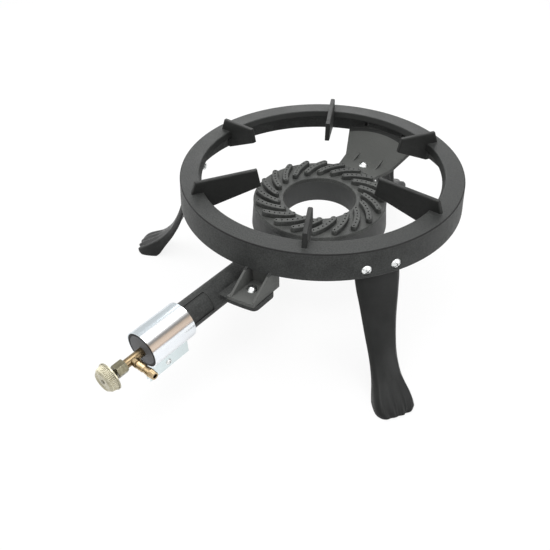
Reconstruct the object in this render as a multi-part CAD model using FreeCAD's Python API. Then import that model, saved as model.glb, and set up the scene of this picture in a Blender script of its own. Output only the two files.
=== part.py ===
import FreeCAD, Part
import math
import os

os.makedirs("parts", exist_ok=True)

V = FreeCAD.Vector

# The origin is on the floor, under the centre of the ring. The mixing tube points along -Y.

# Top ring: a channel section, open below.
ring_height = 166.0        # flat face above the floor
ring_radius = 175.0
ring_width = 23.0          # of the flat face, from the rim to the opening
ring_face = 6.0            # thickness of the flat face
skirt_depth = 34.0
skirt_wall = 5.5
skirt_flare = 2.6          # how far the skirt leans out at its foot
flange_depth = 7.5
flange_wall = 5.0
flange_draft = 3.2         # how far the inner face leans in at its foot
ring_edge = 1.2            # rounding of the rims

# Pot supports: thin radial plates cast on the ring, long and short in turn.
support_pairs = 3
support_turn = 0.0         # degrees from +X to the first long support
support_width = 6.0
support_rise = 15.0
support_heel_setback = 8.5  # from the ring's rim to the outer end at the ring's face
support_rake = 6.0         # how far the outer end leans in at the top
long_reach = 84.0          # radius of a long support's inner end
short_reach = 112.0
support_toe = 4.0          # how far the inner end leans in at the bottom
long_toe_drop = 8.0        # lower edge under the ring's face at the inner end
short_toe_drop = 3.0
support_root_drop = 23.0   # lower edge under the ring's face at the ring
support_edge = 1.6

# Legs
leg_azimuths = (-32.2, 94.0, 208.2)
leg_spread = 98.5          # how far the toe stands out past the pad
leg_leans = (-9.7, 10.0, -9.7)  # how far each toe stands to the side of its pad's middle
leg_shift = 1.1            # how far the shank's top stands to the side of the pad's middle
pad_half_width = 26.0
pad_wall = 6.0
pad_top_drop = 8.0         # top of the pad under the ring's face
shank_overlap = 4.0        # how far the shank runs up into the pad
leg_wall = 5.0
seat_gap = 0.3             # casting clearance between two curved faces

# Leg screws
screw_radius = 3.0
screw_hole = 3.3
screw_spread = 5.58        # degrees each side of the leg's middle
screw_drop = 24.5          # under the ring's face
screw_head_radius = 6.0
screw_head_height = 3.6
screw_end = 1.6            # thread past the nut
spot_radius = 6.6
spot_depth = 0.9
washer_radius = 6.3
washer_wall = 1.6
nut_flats = 10.0
nut_height = 5.0
recess_length = 6.0
recess_width = 1.1
recess_depth = 1.8

# Burner head
burner_radius = 86.0
burner_hole = 47.0         # radius of the opening in the middle
burner_drop = 46.0         # flat top of the cap under the ring's face
cap_wall = 6.0
bowl_depth = 30.0
bowl_flare = 3.0           # how far the bowl's side leans out at its foot
bowl_edge = 1.5
bowl_wall = 4.0
lip_wall = 3.0
lip_depth = 3.0
cap_edge = 0.8

# Ridges and ports of the cap
ridge_count = 20
ridge_inner = 52.5
ridge_outer = 83.5
ridge_width = 7.6
ridge_height = 6.2
ridge_sweep = 0.964        # degrees turned back for each millimetre outward
ridge_turn = 6.45          # azimuth of the first ridge at its middle radius
ridge_edge = 1.0
port_rows = 7
port_first = 54.9
port_pitch = 4.2
port_radius = 1.1
port_skin = 0.5            # metal over a post that a port doesn't reach

# Cap screws, from below through posts in the bowl
post_circle = 66.0
post_radius = 6.5
post_azimuths = (-30.0, 90.0, 210.0)
post_split = 6.0           # depth of the cap's own posts
cap_screw_radius = 2.5
cap_screw_hole = 2.75
cap_screw_head_radius = 4.5
cap_screw_head_height = 3.0
cap_screw_tip = 2.0        # metal left above the screw's end

# Mixing tube
tube_drop = 71.4           # axis under the ring's face
tube_radius = 16.6
tube_bore = 12.6
tube_end = 70.0            # centre of its rounded inner end, from the ring's axis
mouth_reach = 308.3        # front of the mouth plate, from the ring's axis
mouth_wall = 6.0
land_radius = 20.6
land_width = 8.0
window_length = 24.0
window_width = 14.0
rear_land_setback = 45.0   # front of the rear land, behind the mouth plate's front
pocket_length = 30.0
pocket_width = 23.5
pocket_depth = 1.2
pocket_setback = 61.0      # front of the pocket, behind the mouth plate's front
pocket_lean = 47.0         # degrees that the pocket is turned to the hose side

# Brackets that carry the burner in the ring
front_bolt_x = 39.5
front_bolt_out = 5.0       # past the ring's rim
front_shelf_left = 25.0    # X of the shelf's edge on the tube's side
front_shelf_right = 57.5
front_shelf_out = 31.5     # how far the shelf stands out past the ring's rim
front_gussets = (29.0, 56.0)  # X of the two gussets
gusset_width = 3.0
gusset_top_drop = 30.0     # under the ring's face
front_back_wall = 5.0      # wall that hangs from the skirt behind the shelf
gusset_toe = 1.5           # the gusset ends short of the shelf's front edge
gusset_end = 1.0           # height of the gusset at its toe
shelf_wall = 4.5
lug_wall = 6.5
shelf_drop = 56.0          # top of the front shelf under the ring's face
lug_right = 59.0
lug_out = 30.5             # how far it stands out past the ring's rim
lug_in = 13.0              # how far it runs in under the ring
lug_corner = 7.0
rear_bolt_reach = 104.0
rear_gap = 2.0             # between the rear bracket and the cap
rear_bend = 114.0          # radius where the rear bracket starts to rise
rear_inner_half = 30.0
rear_middle_half = 37.0
rear_middle_reach = 115.0
rear_outer_half = 54.0
rear_outer_setback = 4.0   # from the ring's opening to where its sides turn straight
rear_rise_drop = 16.0      # bracket's top face under the ring's face, at the opening
rear_rib = 18.5
rear_rib_width = 3.0
rear_rib_start = 102.0
rear_rib_end = 121.0
rear_rib_rise = 0.8        # how far a rib's upper end stands out of the sheet
rear_lug_radius = 17.0

# Bracket bolts
bolt_radius = 3.0
bolt_hole = 3.3
bolt_head_radius = 6.5
bolt_head_height = 4.0
bolt_end = 2.0

# Air sleeve
sleeve_length = 57.0
sleeve_fit = 0.06          # radial clearance on the lands
sleeve_wall = 0.9
ear_drop = 27.0            # ears below the sleeve
ear_gap = 4.0
ear_screw_setback = 27.6   # from the sleeve's front end
ear_screw_drop = 19.3       # below the sleeve
sleeve_screw_radius = 2.0
sleeve_screw_hole = 2.2
sleeve_screw_head_radius = 3.8
sleeve_screw_head_height = 2.6
sleeve_nut_flats = 7.0
sleeve_nut_height = 3.2
sleeve_slot_depth = 1.0
sleeve_screw_end = 1.0     # thread past the nut

# Gas valve
valve_drop = 2.0           # its axis under the mixing tube's axis
valve_radius = 5.0
valve_hole = 5.1
valve_fit = 0.05           # radial clearance of turned and sliding fits
valve_length = 28.5        # in front of the mouth plate
valve_tail = 9.0           # behind the mouth plate
valve_passage = 1.0
stem_radius = 3.0
seat_setback = 6.0         # needle seat in front of the mouth plate
needle_length = 3.0
lock_nut_flats = 14.0
lock_nut_height = 4.0
jet_length = 11.0
jet_root_radius = 6.5
jet_tip_radius = 4.0
jet_bore = 0.5
jet_socket = 3.0           # depth of its socket on the valve's tail
jet_cap = 1.0
barb_setback = 13.7        # barb's axis in front of the mouth plate
barb_reach = 35.0
barb_radius = 4.0
barb_tip_radius = 4.7
barb_bore = 2.6
barb_collar_radius = 5.0
barb_collar_length = 4.0
barb_ring_count = 3
barb_ring_pitch = 3.4
barb_ring_length = 2.7
barb_tip_length = 13.0
barb_root = 3.4            # its inner end from the valve's axis
barb_ring_step = 0.8
barb_first_ring = 11.0
gland_flats = 14.0
gland_length = 12.0
gland_overlap = 5.0        # of the gland nut over the valve body
packing_length = 3.0
packing_radius = 4.4
neck_radius = 2.5
gland_hole = 3.3
knob_setback = 41.2        # knob's rear face in front of the mouth plate
knob_radius = 15.8
knob_length = 10.4
knob_rim = 1.4
knob_taper = 1.6
knob_bevel_start = 7.6     # of the bevel in front, from the knob's rear face
knob_front_radius = 11.0
knob_dish_radius = 9.8
knob_dish_depth = 0.8
knob_dish_slope = 0.8
flute_count = 48
flute_radius = 0.7
valve_travel = 2.5         # stem's travel for the whole turn of the knob
stem_end = 0.5             # stem's end in front of the knob's dish

cast_overlap = 1.0         # how far cast pieces of one body run into each other
same_place = 0.05          # points nearer than this count as one

# Places worked out from the sizes above
ring_bore = ring_radius - ring_width
support_heel = ring_radius - support_heel_setback
skirt_inner = ring_radius - skirt_wall
skirt_foot = ring_height - skirt_depth
shank_top = skirt_foot + shank_overlap
flange_outer = ring_bore + flange_wall
pad_face = skirt_inner - seat_gap
pad_back = pad_face - pad_wall
screw_height = ring_height - screw_drop
screw_seat = ring_radius + skirt_flare * screw_drop / skirt_depth - spot_depth
nut_seat = pad_back + seat_gap
cap_top = ring_height - burner_drop
cap_foot = cap_top - cap_wall
bowl_foot = cap_foot - bowl_depth
axis_height = ring_height - tube_drop
valve_height = axis_height - valve_drop
mouth_y = -mouth_reach
mouth_back_y = mouth_y + mouth_wall
front_bolt_y = -ring_radius - front_bolt_out
front_shelf_reach = ring_radius + front_shelf_out
lug_front_reach = ring_radius + lug_out
lug_rear_y = -ring_radius + lug_in
rear_outer_reach = ring_bore - rear_outer_setback
shelf_top = ring_height - shelf_drop
shelf_foot = shelf_top - shelf_wall
rear_top = cap_foot + shelf_wall
sleeve_bore = land_radius + sleeve_fit
sleeve_outer = sleeve_bore + sleeve_wall
rear_land_y = mouth_y + rear_land_setback

# How a leg bends: share of the spread, share of the shank's height, half width, depth
leg_stations = (
    (0.000, 1.000, 26.5, 6.0),
    (0.040, 0.930, 26.5, 7.6),
    (0.104, 0.845, 25.4, 8.4),
    (0.165, 0.745, 23.6, 8.4),
    (0.252, 0.580, 20.6, 8.8),
    (0.345, 0.450, 18.6, 9.4),
    (0.460, 0.313, 16.4, 9.6),
    (0.625, 0.200, 17.2, 14.0),
    (0.808, 0.120, 22.6, 25.0),
    (0.945, 0.075, 23.2, 23.0),
    (1.013, 0.010, 15.4, 15.0),
)
hollow_stations = (2, 7)   # first and last station of the hollow in the leg's back
leg_face_share = 0.8       # flat middle of the leg's face
leg_corner = 5.0           # depth over which the face slopes away to the sides
leg_corner_share = 0.33    # at most this share of the section's depth


def polar(radius, azimuth, height=0.0):
    turn = math.radians(azimuth)
    return V(radius * math.cos(turn), radius * math.sin(turn), height)


def turned(shape, azimuth):
    copy = shape.copy()
    copy.rotate(V(0, 0, 0), V(0, 0, 1), azimuth)
    return copy


def moved(shape, offset):
    copy = shape.copy()
    copy.translate(offset)
    return copy


def polygon(points):
    return Part.Face(Part.makePolygon(list(points) + [points[0]]))


def plate(points, width, middle=0.0):
    """A radial plate: its outline is in radius and height, its width across them."""
    face = polygon([V(radius, middle - width / 2, height) for radius, height in points])
    return face.extrude(V(0, width, 0))


def spun(points):
    """A solid of revolution about Z from radius and height."""
    return polygon([V(radius, 0, height) for radius, height in points]).revolve(V(0, 0, 0), V(0, 0, 1), 360)


def rod(radius, start, direction, length):
    return Part.makeCylinder(radius, length, start, direction)


def along_tube(radius, start, end, height):
    """A cylinder parallel to the mixing tube between two values of Y."""
    return Part.makeCylinder(radius, end - start, V(0, start, height), V(0, 1, 0))


def hexagon(flats, height):
    corner = flats / math.sqrt(3)
    points = [V(corner * math.cos(math.radians(60 * k)), corner * math.sin(math.radians(60 * k)), 0)
              for k in range(6)]
    return polygon(points).extrude(V(0, 0, height))


def nut(flats, height, hole):
    """A hexagon nut with its outer corners turned down, standing on the XY plane."""
    corner = flats / math.sqrt(3)
    chamfer = corner - flats / 2
    turned_bar = spun([(0, 0), (flats / 2, 0), (corner, chamfer / 2), (corner, height - chamfer / 2),
                       (flats / 2, height), (0, height)])
    return hexagon(flats, height).common(turned_bar).cut(rod(hole, V(0, 0, 0), V(0, 0, 1), height))


def washer(radius, hole, height):
    return rod(radius, V(0, 0, 0), V(0, 0, 1), height).cut(rod(hole, V(0, 0, 0), V(0, 0, 1), height))


def domed_head(radius, height):
    """A round screw head: a slice of a ball on the XY plane."""
    ball = (radius ** 2 + height ** 2) / (2 * height)
    return Part.makeSphere(ball, V(0, 0, height - ball)).common(
        rod(2 * radius, V(0, 0, 0), V(0, 0, 1), height))


def facing(shape, place, direction):
    """Puts a shape that stands on the XY plane at a place, its Z axis along a direction."""
    copy = shape.copy()
    copy.Placement = FreeCAD.Placement(place, FreeCAD.Rotation(V(0, 0, 1), direction))
    return copy


def export(name, shapes):
    shape = shapes[0] if len(shapes) == 1 else Part.makeCompound(shapes)
    if len(shapes) == 1 and len(shape.Solids) == 1:
        shape = shape.Solids[0]
    shape.exportStep("parts/" + name + ".step")
    print(name, len(shape.Solids), round(shape.Volume), shape.isValid())


def leg_screw_azimuths():
    return [azimuth + side * screw_spread for azimuth in leg_azimuths for side in (-1, 1)]


def ring_edges(shape, radius, height):
    """Circles about the Z axis with this radius at this height."""
    found = []
    for edge in shape.Edges:
        curve = edge.Curve
        if isinstance(curve, Part.Circle) and abs(curve.Radius - radius) < same_place:
            if curve.Center.distanceToPoint(V(0, 0, height)) < same_place:
                found.append(edge)
    return found


def ring_section():
    inner_face = ring_height - ring_face
    flange_foot = ring_height - flange_depth
    return spun([
        (ring_bore, ring_height), (ring_radius, ring_height), (ring_radius + skirt_flare, skirt_foot),
        (skirt_inner, skirt_foot), (skirt_inner, inner_face), (flange_outer, inner_face),
        (flange_outer, flange_foot), (ring_bore - flange_draft, flange_foot)])


def pot_support(reach, toe_drop):
    top = ring_height + support_rise
    body = plate([
        (reach, top), (support_heel - support_rake, top), (support_heel, ring_height),
        (support_heel, ring_height - ring_face / 2), (flange_outer, ring_height - ring_face / 2),
        (flange_outer, ring_height - support_root_drop), (ring_bore, ring_height - support_root_drop),
        (reach - support_toe, ring_height - toe_drop)], support_width)
    rounded = [edge for edge in body.Edges
               if min(v.Z for v in edge.Vertexes) > ring_height - toe_drop - same_place
               and max(v.Z for v in edge.Vertexes) > top - same_place
               and abs(edge.Vertexes[0].Y - edge.Vertexes[1].Y) < same_place]
    return body.makeFillet(support_edge, rounded)


def front_bracket():
    """A shelf and its back wall, hung from the skirt, with two gussets parallel to the mixing tube."""
    reach = front_shelf_reach
    inner = skirt_inner - front_back_wall
    top = ring_height - gusset_top_drop
    plan = polygon([V(front_shelf_left, 0, shelf_foot), V(front_shelf_left, -reach, shelf_foot),
                    V(front_shelf_right, -reach, shelf_foot), V(front_shelf_right, 0, shelf_foot)])
    band = moved(washer(reach, inner, shelf_wall), V(0, 0, shelf_foot))
    shelf = plan.extrude(V(0, 0, shelf_wall)).common(band)
    back = plan.extrude(V(0, 0, top - shelf_foot)).common(
        washer(skirt_inner + cast_overlap, inner, ring_height))
    gussets = []
    for x in front_gussets:
        toe = math.sqrt(reach ** 2 - x ** 2) - gusset_toe
        head = math.sqrt(ring_radius ** 2 - x ** 2)
        start = math.sqrt(skirt_inner ** 2 - x ** 2)
        outline = [(start, top), (head, top), (toe, shelf_top + gusset_end), (toe, shelf_top - gusset_end),
                   (start, shelf_top - gusset_end)]
        gussets.append(turned(plate(outline, gusset_width, x), -90))
    hole = rod(bolt_hole, V(front_bolt_x, front_bolt_y, shelf_foot), V(0, 0, 1), shelf_wall)
    return shelf.fuse([back] + gussets).cut(hole)


def rear_bracket():
    """A sheet that drops from the ring's opening to a shelf behind the burner."""
    slope = (ring_height - rear_rise_drop - rear_top) / (ring_bore - rear_bend)
    wall = shelf_wall * math.sqrt(1 + slope ** 2)
    inner = burner_radius + rear_gap
    start = inner - rear_inner_half
    outer_top = rear_top + slope * (flange_outer - rear_bend)
    flange_foot = ring_height - flange_depth
    side = plate([
        (start, rear_top), (rear_bend, rear_top), (ring_bore, ring_height - rear_rise_drop),
        (ring_bore, flange_foot + cast_overlap), (flange_outer, flange_foot + cast_overlap),
        (flange_outer, outer_top - wall), (rear_bend + (wall - shelf_wall) / slope, rear_top - shelf_wall),
        (start, rear_top - shelf_wall)], 2 * ring_radius)
    outline = [(start, rear_inner_half), (inner, rear_inner_half), (rear_middle_reach, rear_middle_half),
               (rear_outer_reach, rear_outer_half), (flange_outer, rear_outer_half)]
    corners = [V(x, y, 0) for x, y in outline] + [V(x, -y, 0) for x, y in reversed(outline)]
    plan = polygon(corners).extrude(V(0, 0, ring_height))
    web = side.common(plan).cut(rod(inner, V(0, 0, 0), V(0, 0, 1), ring_height))
    web = web.common(rod(flange_outer - flange_wall / 2, V(0, 0, 0), V(0, 0, 1), ring_height))
    rib_top = rear_top + slope * (rear_rib_end - rear_bend) + rear_rib_rise
    rib = [(rear_rib_start, rear_top), (rear_rib_end, rib_top), (rear_rib_end, rib_top - 2 * rear_rib_rise),
           (rear_bend, rear_top - rear_rib_rise), (rear_rib_start, rear_top - rear_rib_rise)]
    ribs = [plate(rib, rear_rib_width, side_sign * rear_rib) for side_sign in (-1, 1)]
    hole = rod(bolt_hole, V(rear_bolt_reach, 0, rear_top - shelf_wall), V(0, 0, 1), shelf_wall)
    return turned(web.fuse(ribs).cut(hole), 90)


def top_ring():
    ring = ring_section()
    rims = ring_edges(ring, ring_radius, ring_height) + ring_edges(ring, ring_bore, ring_height)
    ring = ring.makeFillet(ring_edge, rims)
    supports = []
    for pair in range(support_pairs):
        azimuth = support_turn + pair * 360 / support_pairs
        supports.append(turned(pot_support(long_reach, long_toe_drop), azimuth))
        supports.append(turned(pot_support(short_reach, short_toe_drop), azimuth + 180 / support_pairs))
    ring = ring.fuse(supports + [front_bracket(), rear_bracket()])
    cuts = []
    for azimuth in leg_screw_azimuths():
        outward = polar(1, azimuth)
        cuts.append(rod(screw_hole, polar(pad_back, azimuth, screw_height), outward, 2 * skirt_wall + pad_wall))
        cuts.append(rod(spot_radius, polar(screw_seat, azimuth, screw_height), outward, skirt_wall))
    return ring.cut(cuts)


def leg_section(station, wall, backward):
    """A closed section across the leg: a flat face with sloped edges, two sides and a straight back."""
    place, normal, half_width, depth = station
    corner = min(leg_corner, depth * leg_corner_share) + wall
    flat = half_width * leg_face_share - wall
    half = half_width - wall
    back = depth + backward
    outline = [(flat, wall), (half, corner), (half, back), (-half, back), (-half, corner), (-flat, wall)]
    points = [place + V(0, side, 0) - normal * inward for side, inward in outline]
    return Part.makePolygon(points + [points[0]])


def leg_path(lean):
    """Each station's number, place on the leg's face, outward normal, half width and depth."""
    points = [V(pad_face + share * leg_spread, leg_shift + share * lean, rise * shank_top)
              for share, rise, _, _ in leg_stations]
    path = []
    for k, (_, _, half_width, depth) in enumerate(leg_stations):
        ahead = points[min(k + 1, len(points) - 1)] - points[max(k - 1, 0)]
        normal = V(-ahead.z, 0, ahead.x)
        if k == 0:
            normal = V(1, 0, 0)
        path.append((points[k], normal.normalize(), half_width, depth))
    return path


def leg(azimuth, lean):
    path = leg_path(lean)
    shank = Part.makeLoft([leg_section(station, 0.0, 0.0) for station in path], True, False)
    first, last = hollow_stations
    hollow = Part.makeLoft([leg_section(station, leg_wall, leg_wall) for station in path[first:last + 1]],
                           True, False)
    pad = moved(washer(pad_face, pad_back, skirt_depth - pad_top_drop), V(0, 0, skirt_foot))
    pad = pad.common(Part.makeBox(2 * ring_radius, 2 * pad_half_width, ring_height,
                                  V(0, -pad_half_width, 0)))
    above_floor = Part.makeBox(4 * ring_radius, 4 * ring_radius, ring_height, V(0, -2 * ring_radius, 0))
    skirt = moved(washer(2 * ring_radius, pad_face, skirt_depth), V(0, 0, skirt_foot - seat_gap))
    body = shank.cut(hollow).cut(skirt).fuse(pad).common(above_floor)
    for side in (-1, 1):
        turn = side * screw_spread
        outward = polar(1, turn)
        hole = rod(screw_hole, polar(pad_back - pad_wall, turn, screw_height), outward, 3 * pad_wall)
        spot = rod(washer_radius + seat_gap, polar(nut_seat, turn, screw_height), outward * -1, pad_wall)
        body = body.cut([hole, spot])
    return turned(body, azimuth)


def cross_recess(height):
    """The cut of a cross recess in a head whose top is at this height."""
    foot = height - recess_depth
    slot = Part.makeBox(recess_length, recess_width, 2 * recess_depth,
                        V(-recess_length / 2, -recess_width / 2, foot))
    return slot.fuse(turned(slot, 90))


def leg_screw(azimuth):
    length = screw_seat - (nut_seat - washer_wall - nut_height) + screw_end
    head = domed_head(screw_head_radius, screw_head_height).cut(cross_recess(screw_head_height))
    body = head.fuse(rod(screw_radius, V(0, 0, -length), V(0, 0, 1), length))
    return facing(body, polar(screw_seat, azimuth, screw_height), polar(1, azimuth))


def leg_washer(azimuth):
    shape = washer(washer_radius, screw_hole, washer_wall)
    return facing(shape, polar(nut_seat, azimuth, screw_height), polar(-1, azimuth))


def leg_nut(azimuth):
    shape = nut(nut_flats, nut_height, screw_radius)
    return facing(shape, polar(nut_seat - washer_wall, azimuth, screw_height), polar(-1, azimuth))


def ridge_azimuth(radius):
    return ridge_turn - ridge_sweep * (radius - (ridge_inner + ridge_outer) / 2)


def ridge():
    """One curved ridge: an arc of constant width with round ends."""
    middle = (ridge_inner + ridge_outer) / 2
    half = ridge_width / 2
    start, mid, end = [polar(r, ridge_azimuth(r)) for r in (ridge_inner + half, middle, ridge_outer - half)]
    centre = Part.Arc(start, mid, end).toShape().Curve.Center
    foot = cap_top - cast_overlap

    def offset(point, shift):
        away = (point - centre).normalize()
        return point + away * shift + V(0, 0, foot)

    def round_end(point, ahead):
        return point + ahead * half + V(0, 0, foot)

    def tangent(point, sign):
        away = (point - centre).normalize()
        return V(-away.y * sign, away.x * sign, 0)

    sign = 1 if (start - centre).cross(end - centre).z > 0 else -1
    outer = Part.Arc(offset(start, half), offset(mid, half), offset(end, half)).toShape()
    inner = Part.Arc(offset(end, -half), offset(mid, -half), offset(start, -half)).toShape()
    far_end = Part.Arc(offset(end, half), round_end(end, tangent(end, sign)), offset(end, -half)).toShape()
    near_end = Part.Arc(offset(start, -half), round_end(start, tangent(start, -sign)),
                        offset(start, half)).toShape()
    body = Part.Face(Part.Wire([outer, far_end, inner, near_end])).extrude(V(0, 0, ridge_height + cast_overlap))
    top = [edge for edge in body.Edges if edge.BoundBox.ZMin > cap_top + ridge_height - same_place]
    return body.makeFillet(ridge_edge, top)


def burner_cap():
    outer = burner_radius - bowl_wall - seat_gap
    disc = spun([
        (burner_hole, cap_foot), (burner_hole, cap_top - cap_edge), (burner_hole + cap_edge, cap_top),
        (burner_radius - cap_edge, cap_top), (burner_radius, cap_top - cap_edge), (burner_radius, cap_foot),
        (outer, cap_foot), (outer, cap_foot - lip_depth), (outer - lip_wall, cap_foot - lip_depth),
        (outer - lip_wall, cap_foot)])
    one = ridge()
    ridges = [turned(one, k * 360 / ridge_count) for k in range(ridge_count)]
    posts = [rod(post_radius, polar(post_circle, azimuth, cap_foot - post_split), V(0, 0, 1),
                 post_split + cast_overlap) for azimuth in post_azimuths]
    cap = disc.fuse(ridges + posts)
    port_foot = cap_foot - post_split - cast_overlap
    port_length = cap_top + ridge_height + cast_overlap - port_foot
    ports = []
    for k in range(ridge_count):
        for row in range(port_rows):
            radius = port_first + row * port_pitch
            azimuth = ridge_azimuth(radius) + k * 360 / ridge_count
            place = polar(radius, azimuth, port_foot)
            ports.append(rod(port_radius, place, V(0, 0, 1), port_length))
    hole_top = cap_top - cap_screw_tip
    hole_foot = cap_foot - post_split
    holes = [rod(cap_screw_radius, polar(post_circle, azimuth, hole_foot), V(0, 0, 1), hole_top - hole_foot)
             for azimuth in post_azimuths]
    keep = [rod(post_radius, polar(post_circle, azimuth, cap_foot - post_split), V(0, 0, 1),
                post_split + cap_wall - port_skin) for azimuth in post_azimuths]
    ports_clear = Part.makeCompound(ports).cut(Part.makeCompound(keep))
    return cap.cut(ports_clear).cut(holes)


def bowl():
    """The bowl's outside with its rounded foot, and the room inside it."""
    foot_radius = burner_radius + bowl_flare
    floor = bowl_foot + bowl_wall
    shell = spun([(burner_hole, cap_foot), (burner_radius, cap_foot), (foot_radius, bowl_foot),
                  (burner_hole, bowl_foot)])
    shell = shell.makeFillet(bowl_edge, ring_edges(shell, foot_radius, bowl_foot))
    room = spun([(burner_hole + bowl_wall, cap_foot), (burner_radius - bowl_wall, cap_foot),
                 (burner_radius - bowl_wall, floor), (burner_hole + bowl_wall, floor)])
    return shell, room


def tube_outside():
    """The mixing tube with its rounded inner end, mouth plate and the two lands under the sleeve."""
    window_back = mouth_back_y + window_length
    return along_tube(tube_radius, mouth_y, -tube_end, axis_height).fuse([
        Part.makeSphere(tube_radius, V(0, -tube_end, axis_height)),
        along_tube(land_radius, mouth_y, mouth_back_y, axis_height),
        along_tube(land_radius, window_back, window_back + land_width, axis_height),
        along_tube(land_radius, rear_land_y, rear_land_y + land_width, axis_height)])


def tube_inside():
    """The bore, the air windows behind the mouth plate and the valve's hole."""
    windows = []
    for turn in (0, 90):
        slot = Part.makeBox(2 * sleeve_outer, window_length, window_width,
                            V(-sleeve_outer, mouth_back_y, -window_width / 2))
        slot.rotate(V(0, 0, 0), V(0, 1, 0), turn)
        windows.append(moved(slot, V(0, 0, axis_height)))
    return [along_tube(tube_bore, mouth_back_y, -tube_end, axis_height),
            Part.makeSphere(tube_bore, V(0, -tube_end, axis_height)),
            along_tube(valve_hole, mouth_y, mouth_back_y, valve_height)] + windows


def tube_pocket():
    """A shallow pocket in the tube's upper side, behind the sleeve."""
    start = mouth_y + pocket_setback
    shell = along_tube(land_radius, start, start + pocket_length, axis_height)
    shell = shell.cut(along_tube(tube_radius - pocket_depth, start, start + pocket_length, axis_height))
    box = Part.makeBox(pocket_width, pocket_length, land_radius, V(-pocket_width / 2, start, 0))
    box.rotate(V(0, 0, 0), V(0, 1, 0), pocket_lean)
    return shell.common(moved(box, V(0, 0, axis_height)))


def front_lug():
    """A plate cast on the tube's side, under the front shelf."""
    foot = shelf_foot - lug_wall
    body = Part.makeBox(lug_right, lug_front_reach + lug_rear_y, lug_wall, V(0, -lug_front_reach, foot))
    body = body.common(rod(lug_front_reach, V(0, 0, foot), V(0, 0, 1), lug_wall))
    corners = [edge for edge in body.Edges
               if edge.BoundBox.ZLength > lug_wall / 2 and edge.BoundBox.XMin > lug_right - lug_corner]
    body = body.makeFillet(lug_corner, corners)
    hole = rod(bolt_hole, V(front_bolt_x, front_bolt_y, foot), V(0, 0, 1), lug_wall)
    return body, hole


def rear_lug():
    foot = cap_foot - lug_wall
    start = burner_radius - bowl_wall / 2
    end = rod(rear_lug_radius, V(0, rear_bolt_reach, foot), V(0, 0, 1), lug_wall)
    neck = Part.makeBox(2 * rear_lug_radius, rear_bolt_reach - start, lug_wall,
                        V(-rear_lug_radius, start, foot))
    hole = rod(bolt_hole, V(0, rear_bolt_reach, foot), V(0, 0, 1), lug_wall)
    return end.fuse(neck), hole


def burner_body():
    shell, room = bowl()
    lug, lug_hole = front_lug()
    back_lug, back_hole = rear_lug()
    posts = [rod(post_radius, polar(post_circle, azimuth, bowl_foot), V(0, 0, 1),
                 bowl_depth - post_split) for azimuth in post_azimuths]
    holes = [rod(cap_screw_hole, polar(post_circle, azimuth, bowl_foot), V(0, 0, 1), bowl_depth)
             for azimuth in post_azimuths]
    body = shell.fuse([tube_outside(), lug, back_lug]).cut(room).fuse(posts)
    return body.cut(tube_inside() + [tube_pocket(), lug_hole, back_hole] + holes)


def cap_screw(azimuth):
    length = cap_top - cap_screw_tip - bowl_foot
    head = domed_head(cap_screw_head_radius, cap_screw_head_height)
    head.rotate(V(0, 0, 0), V(1, 0, 0), 180)
    body = head.fuse(rod(cap_screw_radius, V(0, 0, 0), V(0, 0, 1), length))
    return moved(body, polar(post_circle, azimuth, bowl_foot))


def bracket_places():
    """Place in plan, top of the clamped plates and their foot, for the front and the rear bolt."""
    return [(V(front_bolt_x, front_bolt_y, 0), shelf_top, shelf_foot - lug_wall),
            (V(0, rear_bolt_reach, 0), rear_top, cap_foot - lug_wall)]


def bracket_bolts():
    bolts = []
    for place, top, foot in bracket_places():
        length = top - foot + washer_wall + nut_height + bolt_end
        shank = rod(bolt_radius, V(0, 0, -length), V(0, 0, 1), length)
        bolts.append(moved(domed_head(bolt_head_radius, bolt_head_height).fuse(shank), place + V(0, 0, top)))
    return bolts


def bracket_washers():
    shape = washer(washer_radius, bolt_hole, washer_wall)
    return [moved(shape, place + V(0, 0, foot - washer_wall)) for place, _, foot in bracket_places()]


def bracket_nuts():
    shape = nut(nut_flats, nut_height, bolt_radius)
    under = V(0, 0, -washer_wall - nut_height)
    return [moved(shape, place + V(0, 0, foot) + under) for place, _, foot in bracket_places()]


def ear_place():
    """Y and height of the clamp screw through the sleeve's ears."""
    return mouth_y + ear_screw_setback, axis_height - sleeve_outer - ear_screw_drop


def air_sleeve():
    """A rolled sheet sleeve, split below, with two ears drawn together by a screw."""
    front, back = mouth_y, mouth_y + sleeve_length
    round_part = along_tube(sleeve_outer, front, back, axis_height)
    round_part = round_part.cut(along_tube(sleeve_bore, front, back, axis_height))
    half_gap = ear_gap / 2
    ear_top = axis_height - math.sqrt((sleeve_bore + sleeve_wall / 2) ** 2 - half_gap ** 2)
    ear_foot = axis_height - sleeve_outer - ear_drop
    ears = [Part.makeBox(sleeve_wall, sleeve_length, ear_top - ear_foot, V(x, front, ear_foot))
            for x in (half_gap, -half_gap - sleeve_wall)]
    split = Part.makeBox(ear_gap, sleeve_length, sleeve_outer, V(-half_gap, front, axis_height - sleeve_outer))
    split = split.cut(along_tube(land_radius, front, back, axis_height))
    screw_y, screw_z = ear_place()
    hole = rod(sleeve_screw_hole, V(-ear_gap, screw_y, screw_z), V(1, 0, 0), 2 * ear_gap)
    return round_part.cut(split).fuse(ears).cut(hole)


def sleeve_screw():
    screw_y, screw_z = ear_place()
    outer = ear_gap / 2 + sleeve_wall
    head = domed_head(sleeve_screw_head_radius, sleeve_screw_head_height)
    slot = Part.makeBox(2 * sleeve_screw_head_radius, recess_width, sleeve_screw_head_height)
    slot_foot = sleeve_screw_head_height - sleeve_slot_depth
    slot = moved(slot, V(-sleeve_screw_head_radius, -recess_width / 2, slot_foot))
    length = 2 * outer + sleeve_nut_height + sleeve_screw_end
    body = head.cut(slot).fuse(rod(sleeve_screw_radius, V(0, 0, -length), V(0, 0, 1), length))
    return facing(body, V(outer, screw_y, screw_z), V(1, 0, 0))


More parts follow.
